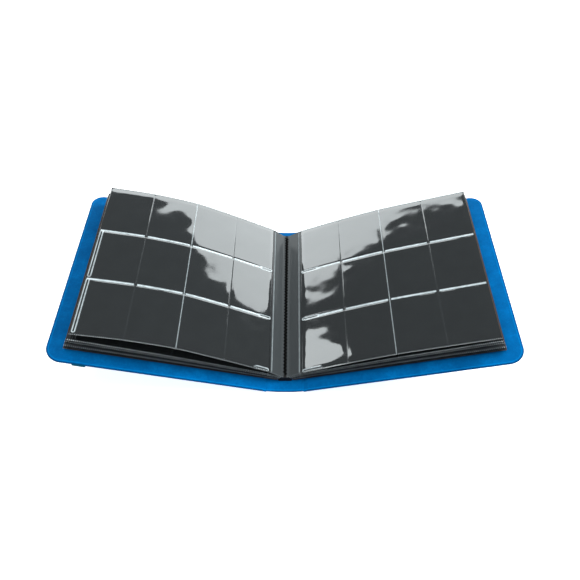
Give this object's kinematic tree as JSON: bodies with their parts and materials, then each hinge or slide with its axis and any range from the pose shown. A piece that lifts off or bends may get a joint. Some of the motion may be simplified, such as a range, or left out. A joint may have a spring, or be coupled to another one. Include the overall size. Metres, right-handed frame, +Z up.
{
  "type": "trading card binder",
  "caption": "Soft-cover album lying open, with pocket leaves sewn into a three-part spine, an elastic closing strap and a leaf that turns.",
  "frame": {"origin": "middle of the underside of the spine, on the surface the album lies on", "axes": "+X across the open album to the right-hand cover, +Y from its front edge to its back edge, along the spine, +Z up"},
  "size_m": [0.651, 0.3254, 0.1238],
  "materials": {
    "suede": "matte, napped",
    "lining": "matte",
    "board": "plain pressed board",
    "leaf_core": "black film",
    "pocket_film": "clear gloss film",
    "binding": "black film, sewn",
    "thread": "black thread",
    "elastic": "woven elastic"
  },
  "bodies": {
    "base": {"spine_middle": "suede", "binding_block": "binding", "binding_seam": "thread"},
    "left_spine": {"spine_left": "suede"},
    "left_cover": {"cover_left_skin": "suede", "cover_left_board": "board", "cover_left_lining": "lining", "strap_ends": "elastic"},
    "right_spine": {"spine_right": "suede"},
    "right_cover": {"cover_right_skin": "suede", "cover_right_board": "board", "cover_right_lining": "lining"},
    "strap": {"strap_band": "elastic"},
    "left_tab": {"top_left_tab": "leaf_core"},
    "left_inner": {"top_left_inner": "leaf_core", "top_left_inner_pockets": "pocket_film"},
    "left_middle": {"top_left_middle": "leaf_core", "top_left_middle_pockets": "pocket_film"},
    "left_outer": {"top_left_outer": "leaf_core", "top_left_outer_pockets": "pocket_film"},
    "right_inner": {"top_right_inner": "leaf_core", "top_right_inner_pockets": "pocket_film"},
    "right_outer": {"top_right_outer": "leaf_core", "top_right_outer_pockets": "pocket_film"},
    "left_leaf_2": {"leaf_left_2": "leaf_core", "pockets_left_2": "pocket_film"},
    "left_leaf_3": {"leaf_left_3": "leaf_core", "pockets_left_3": "pocket_film"},
    "left_leaf_4": {"leaf_left_4": "leaf_core", "pockets_left_4": "pocket_film"},
    "left_leaf_5": {"leaf_left_5": "leaf_core", "pockets_left_5": "pocket_film"},
    "left_leaf_6": {"leaf_left_6": "leaf_core", "pockets_left_6": "pocket_film"},
    "left_leaf_7": {"leaf_left_7": "leaf_core", "pockets_left_7": "pocket_film"},
    "left_leaf_8": {"leaf_left_8": "leaf_core", "pockets_left_8": "pocket_film"},
    "left_leaf_9": {"leaf_left_9": "leaf_core", "pockets_left_9": "pocket_film"},
    "left_leaf_10": {"leaf_left_10": "leaf_core", "pockets_left_10": "pocket_film"},
    "right_leaf_2": {"leaf_right_2": "leaf_core", "pockets_right_2": "pocket_film"},
    "right_leaf_3": {"leaf_right_3": "leaf_core", "pockets_right_3": "pocket_film"},
    "right_leaf_4": {"leaf_right_4": "leaf_core", "pockets_right_4": "pocket_film"},
    "right_leaf_5": {"leaf_right_5": "leaf_core", "pockets_right_5": "pocket_film"},
    "right_leaf_6": {"leaf_right_6": "leaf_core", "pockets_right_6": "pocket_film"},
    "right_leaf_7": {"leaf_right_7": "leaf_core", "pockets_right_7": "pocket_film"},
    "right_leaf_8": {"leaf_right_8": "leaf_core", "pockets_right_8": "pocket_film"},
    "right_leaf_9": {"leaf_right_9": "leaf_core", "pockets_right_9": "pocket_film"},
    "right_leaf_10": {"leaf_right_10": "leaf_core", "pockets_right_10": "pocket_film"}
  },
  "joints": [
    {"name": "left_spine_fold", "type": "hinge", "parent": "base", "child": "left_spine", "pos_m": [-0.011, 0, 0], "axis": [0, -1, 0], "range_deg": [-36.9, 7.6]},
    {"name": "left_cover_crease", "type": "hinge", "parent": "left_spine", "child": "left_cover", "pos_m": [-0.02783, 0, 0.00239], "axis": [0, -1, 0], "range_deg": [-37.1, 7.8]},
    {"name": "right_spine_fold", "type": "hinge", "parent": "base", "child": "right_spine", "pos_m": [0.011, 0, 0], "axis": [0, 1, 0], "range_deg": [-36.9, 7.6]},
    {"name": "right_cover_crease", "type": "hinge", "parent": "right_spine", "child": "right_cover", "pos_m": [0.02783, 0, 0.00239], "axis": [0, 1, 0], "range_deg": [-37.1, 7.8]},
    {"name": "left_tab_hinge", "type": "hinge", "parent": "base", "child": "left_tab", "pos_m": [-0.0055, 0, 0.0117], "axis": [0, -1, 0], "range_deg": [-62.19, 12.97]},
    {"name": "page_turn", "type": "hinge", "parent": "left_tab", "child": "left_inner", "pos_m": [-0.00776, 0, 0.01367], "axis": [0, 1, 0], "range_deg": [0, 110]},
    {"name": "left_middle_flex", "type": "hinge", "parent": "left_inner", "child": "left_middle", "pos_m": [-0.14782, 0, 0.08945], "axis": [0, -1, 0], "range_deg": [-12.01, 2.63]},
    {"name": "page_lift", "type": "hinge", "parent": "left_middle", "child": "left_outer", "pos_m": [-0.21476, 0, 0.10991], "axis": [0, 1, 0], "range_deg": [0, 25], "stiffness_Nm_per_rad": 0.02},
    {"name": "right_inner_hinge", "type": "hinge", "parent": "base", "child": "right_inner", "pos_m": [0.0055, 0, 0.0117], "axis": [0, 1, 0], "range_deg": [-67.73, 14.11]},
    {"name": "right_outer_flex", "type": "hinge", "parent": "right_inner", "child": "right_outer", "pos_m": [0.15422, 0, 0.07701], "axis": [0, 1, 0], "range_deg": [-5.37, 1.26]},
    {"name": "left_leaf_2_hinge", "type": "hinge", "parent": "base", "child": "left_leaf_2", "pos_m": [-0.0062, 0, 0.01086], "axis": [0, -1, 0], "range_deg": [-69.39, 14.45]},
    {"name": "left_leaf_3_hinge", "type": "hinge", "parent": "base", "child": "left_leaf_3", "pos_m": [-0.0069, 0, 0.01002], "axis": [0, -1, 0], "range_deg": [-69.8, 14.54]},
    {"name": "left_leaf_4_hinge", "type": "hinge", "parent": "base", "child": "left_leaf_4", "pos_m": [-0.0076, 0, 0.00918], "axis": [0, -1, 0], "range_deg": [-70.22, 14.62]},
    {"name": "left_leaf_5_hinge", "type": "hinge", "parent": "base", "child": "left_leaf_5", "pos_m": [-0.0083, 0, 0.00834], "axis": [0, -1, 0], "range_deg": [-70.63, 14.71]},
    {"name": "left_leaf_6_hinge", "type": "hinge", "parent": "base", "child": "left_leaf_6", "pos_m": [-0.009, 0, 0.0075], "axis": [0, -1, 0], "range_deg": [-71.05, 14.79]},
    {"name": "left_leaf_7_hinge", "type": "hinge", "parent": "base", "child": "left_leaf_7", "pos_m": [-0.0097, 0, 0.00666], "axis": [0, -1, 0], "range_deg": [-71.46, 14.88]},
    {"name": "left_leaf_8_hinge", "type": "hinge", "parent": "base", "child": "left_leaf_8", "pos_m": [-0.0104, 0, 0.00582], "axis": [0, -1, 0], "range_deg": [-71.88, 14.96]},
    {"name": "left_leaf_9_hinge", "type": "hinge", "parent": "base", "child": "left_leaf_9", "pos_m": [-0.0111, 0, 0.00498], "axis": [0, -1, 0], "range_deg": [-72.3, 15.05]},
    {"name": "left_leaf_10_hinge", "type": "hinge", "parent": "base", "child": "left_leaf_10", "pos_m": [-0.0118, 0, 0.00414], "axis": [0, -1, 0], "range_deg": [-72.71, 15.13]},
    {"name": "right_leaf_2_hinge", "type": "hinge", "parent": "base", "child": "right_leaf_2", "pos_m": [0.0062, 0, 0.01086], "axis": [0, 1, 0], "range_deg": [-69.39, 14.45]},
    {"name": "right_leaf_3_hinge", "type": "hinge", "parent": "base", "child": "right_leaf_3", "pos_m": [0.0069, 0, 0.01002], "axis": [0, 1, 0], "range_deg": [-69.8, 14.54]},
    {"name": "right_leaf_4_hinge", "type": "hinge", "parent": "base", "child": "right_leaf_4", "pos_m": [0.0076, 0, 0.00918], "axis": [0, 1, 0], "range_deg": [-70.22, 14.62]},
    {"name": "right_leaf_5_hinge", "type": "hinge", "parent": "base", "child": "right_leaf_5", "pos_m": [0.0083, 0, 0.00834], "axis": [0, 1, 0], "range_deg": [-70.63, 14.71]},
    {"name": "right_leaf_6_hinge", "type": "hinge", "parent": "base", "child": "right_leaf_6", "pos_m": [0.009, 0, 0.0075], "axis": [0, 1, 0], "range_deg": [-71.05, 14.79]},
    {"name": "right_leaf_7_hinge", "type": "hinge", "parent": "base", "child": "right_leaf_7", "pos_m": [0.0097, 0, 0.00666], "axis": [0, 1, 0], "range_deg": [-71.46, 14.88]},
    {"name": "right_leaf_8_hinge", "type": "hinge", "parent": "base", "child": "right_leaf_8", "pos_m": [0.0104, 0, 0.00582], "axis": [0, 1, 0], "range_deg": [-71.88, 14.96]},
    {"name": "right_leaf_9_hinge", "type": "hinge", "parent": "base", "child": "right_leaf_9", "pos_m": [0.0111, 0, 0.00498], "axis": [0, 1, 0], "range_deg": [-72.3, 15.05]},
    {"name": "right_leaf_10_hinge", "type": "hinge", "parent": "base", "child": "right_leaf_10", "pos_m": [0.0118, 0, 0.00414], "axis": [0, 1, 0], "range_deg": [-72.71, 15.13]},
    {"name": "strap_stretch", "type": "slide", "parent": "left_cover", "child": "strap", "axis": [-0.279, 0, -0.9603], "range_m": [0, 0.04], "stiffness_N_per_m": 60, "springref_m": -0.01}
  ],
  "couplings": [
    {"joint": "left_cover_crease", "follows": "left_spine_fold", "ratio": 1},
    {"joint": "right_cover_crease", "follows": "right_spine_fold", "ratio": 1},
    {"joint": "left_tab_hinge", "follows": "left_spine_fold", "ratio": 1.68},
    {"joint": "left_middle_flex", "follows": "left_spine_fold", "ratio": 0.32},
    {"joint": "right_inner_hinge", "follows": "right_spine_fold", "ratio": 1.83},
    {"joint": "right_outer_flex", "follows": "right_spine_fold", "ratio": 0.14},
    {"joint": "left_leaf_2_hinge", "follows": "left_spine_fold", "ratio": 1.875},
    {"joint": "left_leaf_3_hinge", "follows": "left_spine_fold", "ratio": 1.8862},
    {"joint": "left_leaf_4_hinge", "follows": "left_spine_fold", "ratio": 1.8975},
    {"joint": "left_leaf_5_hinge", "follows": "left_spine_fold", "ratio": 1.9087},
    {"joint": "left_leaf_6_hinge", "follows": "left_spine_fold", "ratio": 1.92},
    {"joint": "left_leaf_7_hinge", "follows": "left_spine_fold", "ratio": 1.9312},
    {"joint": "left_leaf_8_hinge", "follows": "left_spine_fold", "ratio": 1.9425},
    {"joint": "left_leaf_9_hinge", "follows": "left_spine_fold", "ratio": 1.9538},
    {"joint": "left_leaf_10_hinge", "follows": "left_spine_fold", "ratio": 1.965},
    {"joint": "right_leaf_2_hinge", "follows": "right_spine_fold", "ratio": 1.875},
    {"joint": "right_leaf_3_hinge", "follows": "right_spine_fold", "ratio": 1.8862},
    {"joint": "right_leaf_4_hinge", "follows": "right_spine_fold", "ratio": 1.8975},
    {"joint": "right_leaf_5_hinge", "follows": "right_spine_fold", "ratio": 1.9087},
    {"joint": "right_leaf_6_hinge", "follows": "right_spine_fold", "ratio": 1.92},
    {"joint": "right_leaf_7_hinge", "follows": "right_spine_fold", "ratio": 1.9312},
    {"joint": "right_leaf_8_hinge", "follows": "right_spine_fold", "ratio": 1.9425},
    {"joint": "right_leaf_9_hinge", "follows": "right_spine_fold", "ratio": 1.9538},
    {"joint": "right_leaf_10_hinge", "follows": "right_spine_fold", "ratio": 1.965}
  ]
}
